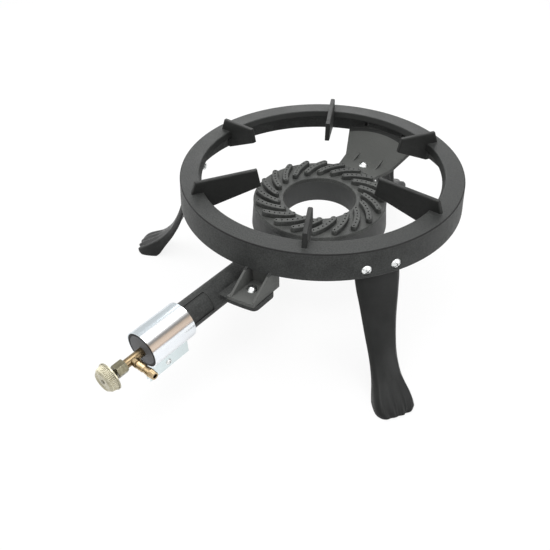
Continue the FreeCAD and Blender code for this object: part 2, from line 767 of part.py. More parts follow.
def sleeve_nut():
    screw_y, screw_z = ear_place()
    outer = ear_gap / 2 + sleeve_wall
    return facing(nut(sleeve_nut_flats, sleeve_nut_height, sleeve_screw_radius),
                  V(-outer, screw_y, screw_z), V(-1, 0, 0))


def on_axis(shape, setback):
    """Puts a shape that stands on the XY plane on the valve's axis, its Z axis forward."""
    return facing(shape, V(0, mouth_y - setback, valve_height), V(0, -1, 0))


def valve_body():
    """A turned brass body: a threaded tail through the mouth plate, a needle seat and the stem's bore."""
    tail = -mouth_wall - valve_tail
    seat = seat_setback + (valve_passage - valve_fit) * needle_length / stem_radius
    body = spun([(valve_passage, tail), (valve_radius, tail), (valve_radius, valve_length),
                 (stem_radius + valve_fit, valve_length), (stem_radius + valve_fit, seat_setback + needle_length),
                 (valve_passage, seat)])
    side = facing(rod(barb_radius, V(0, 0, 0), V(0, 0, 1), 2 * valve_radius), V(0, 0, barb_setback), V(1, 0, 0))
    return on_axis(body.cut(side), 0)


def hose_barb():
    """A hose tail soldered into the valve's side: a collar, three rings and a plain tip."""
    collar_end = valve_radius + barb_collar_length
    outline = [(barb_bore, barb_root), (barb_radius, barb_root), (barb_radius, valve_radius),
               (barb_collar_radius, valve_radius), (barb_collar_radius, collar_end), (barb_radius, collar_end)]
    for k in range(barb_ring_count):
        start = barb_first_ring + k * barb_ring_pitch
        outline += [(barb_radius, start), (barb_radius + barb_ring_step, start),
                    (barb_radius, start + barb_ring_length)]
    outline += [(barb_radius, barb_reach - barb_tip_length), (barb_tip_radius, barb_reach - barb_tip_length / 2),
                (barb_radius, barb_reach), (barb_bore, barb_reach)]
    return facing(spun(outline), V(0, mouth_y - barb_setback, valve_height), V(1, 0, 0))


def gland_nut():
    bar = nut(gland_flats, gland_length, gland_hole)
    room = rod(valve_radius + valve_fit, V(0, 0, 0), V(0, 0, 1), gland_overlap + packing_length)
    return on_axis(bar.cut(room), valve_length - gland_overlap)


def stem_packing():
    return on_axis(washer(packing_radius, stem_radius + valve_fit, packing_length), valve_length)


def valve_stem():
    """A needle, a stem through the packing and a thinner neck that carries the knob."""
    shoulder = valve_length - gland_overlap + gland_length - valve_travel
    end = knob_setback + knob_length - knob_dish_depth + stem_end
    outline = [(0, seat_setback), (stem_radius, seat_setback + needle_length), (stem_radius, shoulder),
               (neck_radius, shoulder), (neck_radius, end), (0, end)]
    return on_axis(spun(outline), 0)


def gas_jet():
    """The injector on the valve's tail: a capped tube with a fine bore."""
    body = spun([(jet_bore, 0), (jet_root_radius, 0), (jet_root_radius, jet_socket + jet_cap),
                 (jet_tip_radius, jet_length), (jet_bore, jet_length)])
    body = body.cut(rod(valve_radius + valve_fit, V(0, 0, 0), V(0, 0, 1), jet_socket))
    return facing(body, V(0, mouth_back_y + valve_tail - jet_socket, valve_height), V(0, 1, 0))


def lock_nut():
    shape = nut(lock_nut_flats, lock_nut_height, valve_radius + valve_fit)
    return facing(shape, V(0, mouth_back_y, valve_height), V(0, 1, 0))


def knob():
    """A fluted wheel with a thin rim behind, a bevel in front and a dished face."""
    bore = neck_radius + valve_fit
    waist = knob_radius - flute_radius
    outline = [(bore, 0), (knob_radius, 0), (knob_radius, knob_rim), (waist, knob_rim),
               (waist - knob_taper, knob_bevel_start), (knob_front_radius, knob_length),
               (knob_dish_radius, knob_length), (knob_dish_radius - knob_dish_slope, knob_length - knob_dish_depth),
               (bore, knob_length - knob_dish_depth)]
    along = V(-knob_taper, 0, knob_bevel_start - knob_rim).normalize()
    flute = rod(flute_radius, V(waist, 0, knob_rim), along, knob_length)
    flutes = [turned(flute, 360 * k / flute_count) for k in range(flute_count)]
    return on_axis(spun(outline).cut(flutes), knob_setback)


export("top_ring", [top_ring()])
for name, azimuth, lean in zip(("leg_front", "leg_rear", "leg_left"), leg_azimuths, leg_leans):
    export(name, [leg(azimuth, lean)])
export("leg_screws", [leg_screw(azimuth) for azimuth in leg_screw_azimuths()])
export("leg_washers", [leg_washer(azimuth) for azimuth in leg_screw_azimuths()])
export("leg_nuts", [leg_nut(azimuth) for azimuth in leg_screw_azimuths()])
export("burner_body", [burner_body()])
export("burner_cap", [burner_cap()])
export("cap_screws", [cap_screw(azimuth) for azimuth in post_azimuths])
export("bracket_bolts", bracket_bolts())
export("bracket_washers", bracket_washers())
export("bracket_nuts", bracket_nuts())
export("air_sleeve", [air_sleeve()])
export("sleeve_screw", [sleeve_screw()])
export("sleeve_nut", [sleeve_nut()])
export("valve_body", [valve_body()])
export("hose_barb", [hose_barb()])
export("gland_nut", [gland_nut()])
export("stem_packing", [stem_packing()])
export("valve_stem", [valve_stem()])
export("gas_jet", [gas_jet()])
export("lock_nut", [lock_nut()])
export("control_knob", [knob()])
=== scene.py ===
import math

import bpy
import bmesh
from mathutils import Matrix, Vector


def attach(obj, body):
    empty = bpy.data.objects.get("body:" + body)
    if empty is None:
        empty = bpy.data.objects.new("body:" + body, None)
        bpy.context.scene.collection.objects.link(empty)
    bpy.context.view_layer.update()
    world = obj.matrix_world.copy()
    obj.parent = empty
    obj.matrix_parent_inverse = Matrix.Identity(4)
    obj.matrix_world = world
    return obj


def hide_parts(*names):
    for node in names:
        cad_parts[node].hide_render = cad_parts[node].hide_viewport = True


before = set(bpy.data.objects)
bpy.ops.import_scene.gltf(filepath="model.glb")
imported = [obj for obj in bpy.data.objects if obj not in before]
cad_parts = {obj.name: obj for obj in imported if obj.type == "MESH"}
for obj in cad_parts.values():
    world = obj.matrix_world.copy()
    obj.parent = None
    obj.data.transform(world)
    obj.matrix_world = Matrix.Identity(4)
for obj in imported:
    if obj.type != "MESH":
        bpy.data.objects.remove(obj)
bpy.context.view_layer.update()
bpy.ops.object.select_all(action="DESELECT")
print("frame loaded:", len(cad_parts), "nodes")

camera = {
    "centre": (0.0, 0.0, 0.166),  # middle of the ring's face
    "distance": 0.7628,
    "azimuth": 34.88,             # degrees from -Y towards +X
    "elevation": 30.80,
    "yaw": -4.029,                # the view turned off the ring's centre
    "pitch": -10.382,
    "roll": -1.288,
    "lens": 39.32,
}


def addCamera(values):
    up = math.radians(values["elevation"])
    yaw, pitch, roll = [math.radians(values[key]) for key in ("yaw", "pitch", "roll")]
    turn = Matrix.Rotation(math.radians(values["azimuth"]), 3, "Z")
    place = Vector((0, -math.cos(up), math.sin(up))) * values["distance"]
    ahead = -place.normalized()
    side = ahead.cross(Vector((0, 0, 1))).normalized()
    top = side.cross(ahead)
    ahead = (ahead * math.cos(yaw) + side * math.sin(yaw)) * math.cos(pitch) + top * math.sin(pitch)
    side = ahead.cross(Vector((0, 0, 1))).normalized()
    top = side.cross(ahead)
    side = side * math.cos(roll) + top * math.sin(roll)
    top = side.cross(ahead)
    axes = turn @ Matrix((side, top, -ahead)).transposed()
    data = bpy.data.cameras.new("photoCamera")
    data.lens = values["lens"]
    cam = bpy.data.objects.new("photoCamera", data)
    bpy.context.scene.collection.objects.link(cam)
    cam.matrix_world = Matrix.Translation(turn @ place + Vector(values["centre"])) @ axes.to_4x4()
    bpy.context.scene.camera = cam


addCamera(camera)
print("camera set")


# Node helpers: a value may be a socket, a number or a colour.

def newMaterial(name):
    material = bpy.data.materials.new(name)
    material.use_nodes = True
    return material, material.node_tree


def addNode(tree, kind, **settings):
    node = tree.nodes.new("ShaderNode" + kind)
    for key, value in settings.items():
        setattr(node, key, value)
    return node


def put(tree, value, socket):
    if isinstance(value, bpy.types.NodeSocket):
        tree.links.new(value, socket)
    elif isinstance(value, tuple) and socket.type == "RGBA":
        socket.default_value = (*value, 1.0)
    else:
        socket.default_value = value


def mathNode(tree, operation, *values):
    node = addNode(tree, "Math", operation=operation)
    for value, socket in zip(values, node.inputs):
        put(tree, value, socket)
    return node.outputs[0]


def mixColour(tree, share, first, second, blend="MIX"):
    node = addNode(tree, "Mix", data_type="RGBA", blend_type=blend)
    for value, socket in ((share, node.inputs[0]), (first, node.inputs[6]), (second, node.inputs[7])):
        put(tree, value, socket)
    return node.outputs[2]


def stepNode(tree, value, low, high):
    node = addNode(tree, "MapRange", interpolation_type="SMOOTHSTEP")
    for number, socket in ((value, node.inputs[0]), (low, node.inputs[1]), (high, node.inputs[2])):
        put(tree, number, socket)
    return node.outputs[0]


def bandNode(tree, value, low, high, soft):
    rise = stepNode(tree, value, low - soft, low + soft)
    fall = stepNode(tree, value, high - soft, high + soft)
    return mathNode(tree, "SUBTRACT", rise, fall)


def rampNode(tree, share, stops):
    node = addNode(tree, "ValToRGB")
    elements = node.color_ramp.elements
    while len(elements) < len(stops):
        elements.new(0.5)
    for element, (place, colour) in zip(elements, stops):
        element.position = place
        element.color = (*colour, 1.0)
    put(tree, share, node.inputs[0])
    return node.outputs[0]


def noiseNode(tree, place, scale, detail=3.0, roughness=0.55):
    node = addNode(tree, "TexNoise")
    for key, value in (("Vector", place), ("Scale", scale), ("Detail", detail), ("Roughness", roughness)):
        put(tree, value, node.inputs[key])
    return node.outputs[0]


def objectPlace(tree, offset=(0, 0, 0), scale=(1, 1, 1)):
    coordinates = addNode(tree, "TexCoord")
    mapping = addNode(tree, "Mapping")
    put(tree, coordinates.outputs["Object"], mapping.inputs["Vector"])
    mapping.inputs["Location"].default_value = offset
    mapping.inputs["Scale"].default_value = scale
    return mapping.outputs[0]


def newGroup(name, inputs, outputs):
    group = bpy.data.node_groups.new(name, "ShaderNodeTree")
    for label, value in inputs:
        socket = group.interface.new_socket(label, in_out="INPUT", socket_type="NodeSocketFloat")
        socket.default_value = value
    for label, kind in outputs:
        group.interface.new_socket(label, in_out="OUTPUT", socket_type=kind)
    return group, group.nodes.new("NodeGroupInput"), group.nodes.new("NodeGroupOutput")


def useGroup(tree, group, values):
    node = tree.nodes.new("ShaderNodeGroup")
    node.node_tree = group
    for key, value in values.items():
        put(tree, value, node.inputs[key])
    return node.outputs


# Sand-cast skin: a fine grain, scattered pits and broad cloudy patches.
skinShape = {
    "lumpScale": 0.22,            # share of the grain's scale
    "lumpShare": 0.8,
    "pitScale": 0.35,
    "pitEdge": 0.28,
    "cloud": (0.32, 0.68),        # noise levels between which a mask rises
    "fleck": (0.34, 0.66),
}


def makeCastSkin():
    group, start, end = newGroup("castSkin", [("Grain", 900.0), ("Patches", 45.0), ("Pits", 0.5)],
                                 [("Height", "NodeSocketFloat"), ("Cloud", "NodeSocketFloat"),
                                  ("Fleck", "NodeSocketFloat")])
    place = addNode(group, "TexCoord").outputs["Object"]
    grain = noiseNode(group, place, start.outputs["Grain"], 4.0, 0.6)
    lumpScale = mathNode(group, "MULTIPLY", start.outputs["Grain"], skinShape["lumpScale"])
    lumps = noiseNode(group, place, lumpScale, 2.0, 0.5)
    cells = addNode(group, "TexVoronoi")
    put(group, place, cells.inputs["Vector"])
    pitScale = mathNode(group, "MULTIPLY", start.outputs["Grain"], skinShape["pitScale"])
    put(group, pitScale, cells.inputs["Scale"])
    pits = stepNode(group, cells.outputs["Distance"], 0.0, skinShape["pitEdge"])
    pits = mathNode(group, "MULTIPLY", pits, start.outputs["Pits"])
    height = mathNode(group, "ADD", mathNode(group, "ADD", grain, pits),
                      mathNode(group, "MULTIPLY", lumps, skinShape["lumpShare"]))
    patches = noiseNode(group, place, start.outputs["Patches"], 5.0, 0.6)
    put(group, height, end.inputs["Height"])
    put(group, stepNode(group, patches, *skinShape["cloud"]), end.inputs["Cloud"])
    put(group, stepNode(group, grain, *skinShape["fleck"]), end.inputs["Fleck"])
    return group


# Worn edges, painted lighter also as a painted highlight: where a rounded normal leaves the true one.
def makeEdgeWearAndHighlight():
    group, start, end = newGroup("edgeWearAndHighlight", [("Radius", 0.001), ("Sharpness", 0.12)],
                                 [("Edge", "NodeSocketFloat"), ("Normal", "NodeSocketVector")])
    bevel = addNode(group, "Bevel", samples=6)
    put(group, start.outputs["Radius"], bevel.inputs["Radius"])
    flat = addNode(group, "NewGeometry").outputs["Normal"]
    across = addNode(group, "VectorMath", operation="DOT_PRODUCT")
    put(group, bevel.outputs[0], across.inputs[0])
    put(group, flat, across.inputs[1])
    away = mathNode(group, "SUBTRACT", 1.0, across.outputs["Value"])
    put(group, stepNode(group, away, 0.0, start.outputs["Sharpness"]), end.inputs["Edge"])
    put(group, bevel.outputs[0], end.inputs["Normal"])
    return group


# Recesses: how far a place lies in a slot, a hole or a corner of its own piece. The materials paint shade
# there.
recessLevels = (0.15, 0.9)        # shade levels between which the mask rises


def makeRecess():
    group, start, end = newGroup("recess", [("Reach", 0.004), ("Strength", 1.0)], [("Dark", "NodeSocketFloat")])
    hollow = addNode(group, "AmbientOcclusion", samples=8, only_local=True)
    put(group, start.outputs["Reach"], hollow.inputs["Distance"])
    shade = mathNode(group, "SUBTRACT", 1.0, hollow.outputs["AO"])
    shade = mathNode(group, "MULTIPLY", stepNode(group, shade, *recessLevels), start.outputs["Strength"])
    put(group, shade, end.inputs["Dark"])
    return group


castSkin = makeCastSkin()
edgeWearAndHighlight = makeEdgeWearAndHighlight()
recess = makeRecess()

iron = {
    "colour": (0.020, 0.0212, 0.0205),
    "patch": (0.034, 0.0358, 0.0345),  # dusty patches
    "edge": (0.105, 0.108, 0.105),    # rubbed edges, also a painted highlight
    "edgeShare": 0.5,
    "edgeRadius": 0.0011,
    "shade": (0.006, 0.006, 0.006),   # painted shade in slots and corners
    "shadeShare": 0.7,
    "shadeReach": 0.004,
    "fleck": 0.30,                    # how much the sand grain changes the colour
    "roughness": 0.52,
    "roughSpread": 0.12,
    "specular": 0.24,
    "grain": 620.0,
    "patches": 38.0,
    "pits": 0.5,
    "bump": 0.8,
    "bumpDepth": 0.00028,
}


def castIron(name, changes=None, mark=None):
    values = {**iron, **(changes or {})}
    material, tree = newMaterial(name)
    shader = tree.nodes["Principled BSDF"]
    skin = useGroup(tree, castSkin, {"Grain": values["grain"], "Patches": values["patches"],
                                     "Pits": values["pits"]})
    wearAndHighlight = useGroup(tree, edgeWearAndHighlight, {"Radius": values["edgeRadius"]})
    colour = mixColour(tree, skin["Cloud"], values["colour"], values["patch"])
    level = mathNode(tree, "MULTIPLY_ADD", skin["Fleck"], 2 * values["fleck"], 1.0 - values["fleck"])
    colour = mixColour(tree, 1.0, colour, level, "MULTIPLY")
    # edges painted lighter: partly wear, partly a painted highlight
    rubbedAndHighlit = mathNode(tree, "MULTIPLY", wearAndHighlight["Edge"], values["edgeShare"])
    colour = mixColour(tree, rubbedAndHighlit, colour, values["edge"])
    # painted shade: slots, holes and corners darkened where ambient occlusion finds them
    hollow = useGroup(tree, recess, {"Reach": values["shadeReach"], "Strength": values["shadeShare"]})
    colour = mixColour(tree, hollow["Dark"], colour, values["shade"])
    roughness = mathNode(tree, "MULTIPLY_ADD", skin["Cloud"], values["roughSpread"], values["roughness"])
    if mark:
        colour = mark(tree, colour)
    bump = addNode(tree, "Bump")
    put(tree, skin["Height"], bump.inputs["Height"])
    put(tree, wearAndHighlight["Normal"], bump.inputs["Normal"])
    bump.inputs["Strength"].default_value = values["bump"]
    bump.inputs["Distance"].default_value = values["bumpDepth"]
    put(tree, colour, shader.inputs["Base Color"])
    put(tree, roughness, shader.inputs["Roughness"])
    put(tree, bump.outputs[0], shader.inputs["Normal"])
    shader.inputs["Specular IOR Level"].default_value = values["specular"]
    return material


# The ring's rim has a thin dark line just under its face: painted shade of a groove. The brackets get painted
# light, the supports and the inside of the ring painted shade.
ringMarks = {
    "lineRadius": 0.1752, "lineHeight": 0.1655, "lineHalf": 0.0007, "line": (0.004, 0.004, 0.004),
    "shelfHeight": 0.131,         # the front bracket lies below this
    "shelfStart": -0.1,           # and in front of this
    "bracketReach": 0.148,        # the rear bracket lies inside this
    "bracketHalf": 0.060,         # and this far to each side
    "bracketTop": 0.1585,
    # painted light: the rear bracket and the front shelf are painted lighter, as if lit
    "paleTone": (0.082, 0.085, 0.080),
    "shelfPaintedLight": (0.105, 0.108, 0.103),
    "paintedLightShare": 0.85,
    "faceHeight": 0.1663,         # supports stand above this, or inside the ring
    "innerWall": 0.1515,
    # painted shade on the supports and inside the ring
    "paintedShade": (0.0115, 0.0122, 0.0115),
}


def flatReach(tree, first, second):
    squares = mathNode(tree, "ADD", mathNode(tree, "POWER", first, 2.0), mathNode(tree, "POWER", second, 2.0))
    return mathNode(tree, "SQRT", squares)


def markRing(tree, colour):
    split = addNode(tree, "SeparateXYZ")
    put(tree, objectPlace(tree), split.inputs[0])
    across, along, height = split.outputs
    reach = flatReach(tree, across, along)
    half, radius, top = [ringMarks[key] for key in ("lineHalf", "lineRadius", "lineHeight")]
    # painted shade: a thin dark line just under the face, standing in for a groove's shade
    line = bandNode(tree, reach, radius - 2 * half, radius + 2 * half, half / 2)
    level = bandNode(tree, height, top - half, top + 2 * half, half / 2)
    colour = mixColour(tree, mathNode(tree, "MULTIPLY", line, level), colour, ringMarks["line"])
    inside = mathNode(tree, "LESS_THAN", reach, ringMarks["innerWall"])
    above = mathNode(tree, "GREATER_THAN", height, ringMarks["faceHeight"])
    rear = mathNode(tree, "MULTIPLY", mathNode(tree, "GREATER_THAN", along, 0.0),
                    mathNode(tree, "LESS_THAN", mathNode(tree, "ABSOLUTE", across), ringMarks["bracketHalf"]))
    rear = mathNode(tree, "MULTIPLY", rear, mathNode(tree, "LESS_THAN", height, ringMarks["bracketTop"]))
    rear = mathNode(tree, "MULTIPLY", rear, mathNode(tree, "LESS_THAN", reach, ringMarks["bracketReach"]))
    low = mathNode(tree, "LESS_THAN", height, ringMarks["shelfHeight"])
    low = mathNode(tree, "MULTIPLY", low, mathNode(tree, "LESS_THAN", along, ringMarks["shelfStart"]))
    plain = mathNode(tree, "SUBTRACT", 1.0, rear)
    # painted shade: the supports and the inside of the ring darkened
    paintedShade = mathNode(tree, "MULTIPLY", mathNode(tree, "MAXIMUM", inside, above), plain)
    colour = mixColour(tree, paintedShade, colour, ringMarks["paintedShade"])
    # painted light on the front shelf and the rear bracket
    for place, paleTone in ((low, "shelfPaintedLight"), (rear, "paleTone")):
        share = mathNode(tree, "MULTIPLY", place, ringMarks["paintedLightShare"])
        colour = mixColour(tree, share, colour, ringMarks[paleTone])
    return colour


# The mouth plate has a grey sandy face inside a black rim; the rim's black is partly its own colour and partly
# painted shade. The bowl is dustier than the tube.
mouth = {
    "height": 0.0946, "face": -0.3079, "plain": 0.0172, "rim": 0.0180,
    "grey": (0.115, 0.118, 0.124), "black": (0.005, 0.005, 0.005),
    "bowl": -0.080, "bowlSoft": 0.02, "paleTone": (0.062, 0.064, 0.063),
}


def markMouth(tree, colour):
    split = addNode(tree, "SeparateXYZ")
    put(tree, objectPlace(tree, offset=(0, 0, -mouth["height"])), split.inputs[0])
    reach = flatReach(tree, split.outputs[0], split.outputs[2])
    bowl = stepNode(tree, split.outputs[1], mouth["bowl"] - mouth["bowlSoft"], mouth["bowl"])
    colour = mixColour(tree, bowl, colour, mouth["paleTone"])
    front = mathNode(tree, "LESS_THAN", split.outputs[1], mouth["face"])
    # black rim: partly the rim's own colour, partly painted shade
    rim = stepNode(tree, reach, mouth["plain"], mouth["rim"])
    face = mixColour(tree, rim, mouth["grey"], mouth["black"])
    return mixColour(tree, front, colour, face)


metal = {
    "brass": {"colour": (0.48, 0.37, 0.22), "dull": (0.34, 0.25, 0.14), "edge": (0.76, 0.65, 0.46),
              "shade": (0.05, 0.028, 0.010), "roughness": 0.26, "grain": 260.0, "bump": 0.08},
    "valveBrass": {"colour": (0.24, 0.180, 0.105), "dull": (0.15, 0.110, 0.062), "edge": (0.66, 0.55, 0.38),
                   "shade": (0.05, 0.028, 0.010), "roughness": 0.24, "grain": 260.0, "bump": 0.08},
    "nickel": {"colour": (0.19, 0.176, 0.125), "dull": (0.12, 0.110, 0.075), "edge": (0.70, 0.67, 0.55),
               "shade": (0.030, 0.027, 0.018), "roughness": 0.30, "grain": 320.0, "bump": 0.06},
    "paleNickel": {"colour": (0.44, 0.415, 0.315), "dull": (0.33, 0.305, 0.22), "edge": (0.86, 0.84, 0.74),
                   "shade": (0.06, 0.052, 0.030), "roughness": 0.30, "grain": 320.0, "bump": 0.04},
    "zinc": {"colour": (0.82, 0.83, 0.82), "dull": (0.62, 0.64, 0.64), "edge": (0.95, 0.95, 0.95),
             "shade": (0.010, 0.010, 0.010), "roughness": 0.25, "grain": 420.0, "bump": 0.06},
}

turned = {
    "fineGrain": 4, "pits": 0.1, "edgeRadius": 0.0003, "edgeSharpness": 0.2, "edgeShare": 0.5, "reach": 0.0025,
    "bumpDepth": 0.0001, "roughSpread": -0.08, "roughExtra": 0.06,
}


def turnedMetal(name):
    values = metal[name]
    material, tree = newMaterial(name)
    shader = tree.nodes["Principled BSDF"]
    skin = useGroup(tree, castSkin, {"Grain": values["grain"] * turned["fineGrain"], "Patches": values["grain"],
                                     "Pits": turned["pits"]})
    wearAndHighlight = useGroup(tree, edgeWearAndHighlight, {"Radius": turned["edgeRadius"], "Sharpness": turned["edgeSharpness"]})
    colour = mixColour(tree, skin["Cloud"], values["dull"], values["colour"])
    # edges painted lighter: partly wear, partly a painted highlight
    rubbedAndHighlit = mathNode(tree, "MULTIPLY", wearAndHighlight["Edge"], turned["edgeShare"])
    colour = mixColour(tree, rubbedAndHighlit, colour, values["edge"])
    # painted shade: recesses darkened towards each metal's shade colour
    hollow = useGroup(tree, recess, {"Reach": turned["reach"], "Strength": 1.0})
    colour = mixColour(tree, hollow["Dark"], colour, values["shade"])
    bump = addNode(tree, "Bump")
    put(tree, skin["Height"], bump.inputs["Height"])
    put(tree, wearAndHighlight["Normal"], bump.inputs["Normal"])
    bump.inputs["Strength"].default_value = values["bump"]
    bump.inputs["Distance"].default_value = turned["bumpDepth"]
    put(tree, colour, shader.inputs["Base Color"])
    put(tree, mathNode(tree, "MULTIPLY_ADD", skin["Cloud"], turned["roughSpread"],
                       values["roughness"] + turned["roughExtra"]), shader.inputs["Roughness"])
    put(tree, bump.outputs[0], shader.inputs["Normal"])
    shader.inputs["Metallic"].default_value = 1.0
    return material


# Bright rolled sheet, with streaks along the tube where the roll bent it. Its colour is painted reflection:
# bands by the angle around the tube.
sheet = {
    "height": 0.0946,
    "roughness": 0.16, "roughSpread": 0.1,
    "streakScale": 900.0, "streakStretch": 0.04, "streakTurn": 0.08,
    "bump": 0.1, "bumpDepth": 0.00005,
    # painted reflection tone for the ears; painted shade line along the fold
    "ears": (0.66, 0.735, 0.745),
    "fold": -0.0212, "foldHalf": 0.0004, "foldTone": (0.25, 0.28, 0.30),
    "stops": [                    # painted reflection bands, degrees from the top towards the hose side
        (-180, (0.70, 0.73, 0.76)), (-50, (0.52, 0.57, 0.60)), (3, (0.54, 0.59, 0.62)),
        (9, (0.93, 0.94, 0.95)), (26, (0.93, 0.94, 0.95)), (38, (0.26, 0.255, 0.25)),
        (45, (0.20, 0.165, 0.135)), (61, (0.25, 0.205, 0.17)), (66, (0.78, 0.81, 0.84)),
        (135, (0.84, 0.87, 0.90)), (180, (0.70, 0.73, 0.76))],
}


def rolledSheet(name):
    material, tree = newMaterial(name)
    shader = tree.nodes["Principled BSDF"]
    split = addNode(tree, "SeparateXYZ")
    put(tree, objectPlace(tree, offset=(0, 0, -sheet["height"])), split.inputs[0])
    turn = mathNode(tree, "ARCTAN2", split.outputs[0], split.outputs[2])
    streak = noiseNode(tree, objectPlace(tree, scale=(1, sheet["streakStretch"], 1)), sheet["streakScale"], 2.0)
    sway = mathNode(tree, "MULTIPLY_ADD", streak, sheet["streakTurn"], -sheet["streakTurn"] / 2)
    turn = mathNode(tree, "ADD", turn, sway)
    share = mathNode(tree, "MULTIPLY_ADD", turn, 0.5 / math.pi, 0.5)
    # painted reflection: light, dark and tan bands around the tube
    colour = rampNode(tree, share, [((angle + 180) / 360, tone) for angle, tone in sheet["stops"]])
    fold, half = sheet["fold"], sheet["foldHalf"]
    # the ears get a flat painted reflection tone, the fold a dark painted shade line
    ears = mathNode(tree, "LESS_THAN", split.outputs[2], fold)
    colour = mixColour(tree, ears, colour, sheet["ears"])
    line = bandNode(tree, split.outputs[2], fold - half, fold + half, half / 2)
    colour = mixColour(tree, line, colour, sheet["foldTone"])
    bump = addNode(tree, "Bump")
    put(tree, streak, bump.inputs["Height"])
    bump.inputs["Strength"].default_value = sheet["bump"]
    bump.inputs["Distance"].default_value = sheet["bumpDepth"]
    put(tree, colour, shader.inputs["Base Color"])
    put(tree, mathNode(tree, "MULTIPLY_ADD", streak, sheet["roughSpread"], sheet["roughness"]),
        shader.inputs["Roughness"])
    put(tree, bump.outputs[0], shader.inputs["Normal"])
    shader.inputs["Metallic"].default_value = 1.0
    return material


bodyFinish = {"grain": 520.0}
# Cap: strong painted shade in its ports and between its ridges
capFinish = {
    "grain": 800.0, "edgeRadius": 0.0006, "shadeReach": 0.0026, "shadeShare": 1.0,
    "colour": (0.050, 0.052, 0.050), "patch": (0.078, 0.081, 0.077), "edge": (0.14, 0.143, 0.139),
    "shade": (0.002, 0.002, 0.002),
}


def finishNodes():
    ringIron = castIron("ringIron", mark=markRing)
    bodyIron = castIron("bodyIron", bodyFinish, mark=markMouth)
    capIron = castIron("capIron", capFinish)
    brass, valveBrass, nickel, paleNickel, zinc = [turnedMetal(name) for name in metal]
    finishes = {
        ringIron: ["top_ring"], bodyIron: ["burner_body"], capIron: ["burner_cap"],
        rolledSheet("rolledSheet"): ["air_sleeve"], paleNickel: ["control_knob"],
        brass: ["hose_barb", "gas_jet", "lock_nut"], valveBrass: ["valve_body"],
        nickel: ["gland_nut", "valve_stem", "stem_packing"],
        zinc: ["leg_screws", "leg_washers", "leg_nuts", "cap_screws", "bracket_bolts", "bracket_washers",
               "bracket_nuts", "sleeve_screw", "sleeve_nut"]}
    for material, names in finishes.items():
        for name in names:
            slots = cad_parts[name].data.materials
            slots.clear()
            slots.append(material)


finishNodes()
print("finishes set")

# Legs: a crowned shank that runs out into a foot with four toes. Metres, along the leg's own radius.
legs = {
    "places": {"leg_front": (-32.2, -0.0097), "leg_rear": (94.0, 0.010), "leg_left": (208.2, -0.0097)},
    "face": 0.1692,               # pad's face, from the ring's axis
    "spread": 0.0985,
    "shift": 0.0011,
    "rise": 0.136,
    "cut": 0.1317,                # the shank starts just under the ring's skirt
    "stations": [                 # share of the spread, share of the rise, half width, depth, groove depth
        (0.020, 0.968, 0.0265, 0.0070, 0.0), (0.040, 0.930, 0.0265, 0.0076, 0.0),
        (0.104, 0.845, 0.0254, 0.0084, 0.0), (0.165, 0.745, 0.0236, 0.0084, 0.0),
        (0.252, 0.580, 0.0206, 0.0088, 0.0), (0.345, 0.450, 0.0186, 0.0094, 0.0),
        (0.460, 0.313, 0.0164, 0.0096, 0.0), (0.625, 0.200, 0.0172, 0.0140, 0.0),
        (0.720, 0.155, 0.0200, 0.0195, 0.0004), (0.808, 0.120, 0.0226, 0.0220, 0.0012),
        (0.900, 0.085, 0.0236, 0.0200, 0.0022), (0.965, 0.055, 0.0232, 0.0150, 0.0026),
        (1.008, 0.020, 0.0188, 0.0100, 0.0014)],
    "columns": (0.0, 0.17, 0.34, 0.50, 0.66, 0.82, 1.0),  # across half of the front
    "grooves": (0, 3),            # columns that the toes' grooves run along
    "crown": 0.0024,
    "corner": 0.0042,
    "cornerShare": 0.36,          # the most of the depth that a corner takes
    "sole": 0.0,                  # the foot is cut flat here
    "toe": 0.0009,                # how far a toe's middle stands out
    "hollow": (2, 7),             # stations between which the back is hollow
    "hollowDepth": 0.0034,
    "hollowRim": 0.0008,
    "crease": 0.7,
    "levels": 2,
    "smoothAngle": 35,
    "weld": 0.00001,
}


def pick(cage, chosen):
    mesh = bmesh.from_edit_mesh(cage.data)
    mesh.select_mode = {"VERT"}
    for vertex in mesh.verts:
        vertex.select = vertex.index in chosen
    mesh.select_flush_mode()
    bmesh.update_edit_mesh(cage.data)


def shift(cage, chosen, move):
    pick(cage, chosen)
    bpy.ops.transform.translate(value=tuple(move))


def startObject(name):
    shape = bpy.context.object
    shape.name = name
    shape.data.name = name
    return shape


def legStations(lean):
    points = [Vector((legs["face"] + out * legs["spread"], legs["shift"] + out * lean, up * legs["rise"]))
              for out, up, _, _, _ in legs["stations"]]
    path = []
    for k, (_, _, half, depth, groove) in enumerate(legs["stations"]):
        ahead = points[min(k + 1, len(points) - 1)] - points[max(k - 1, 0)]
        path.append((points[k], Vector((-ahead.z, 0, ahead.x)).normalized(), half, depth, groove))
    return path


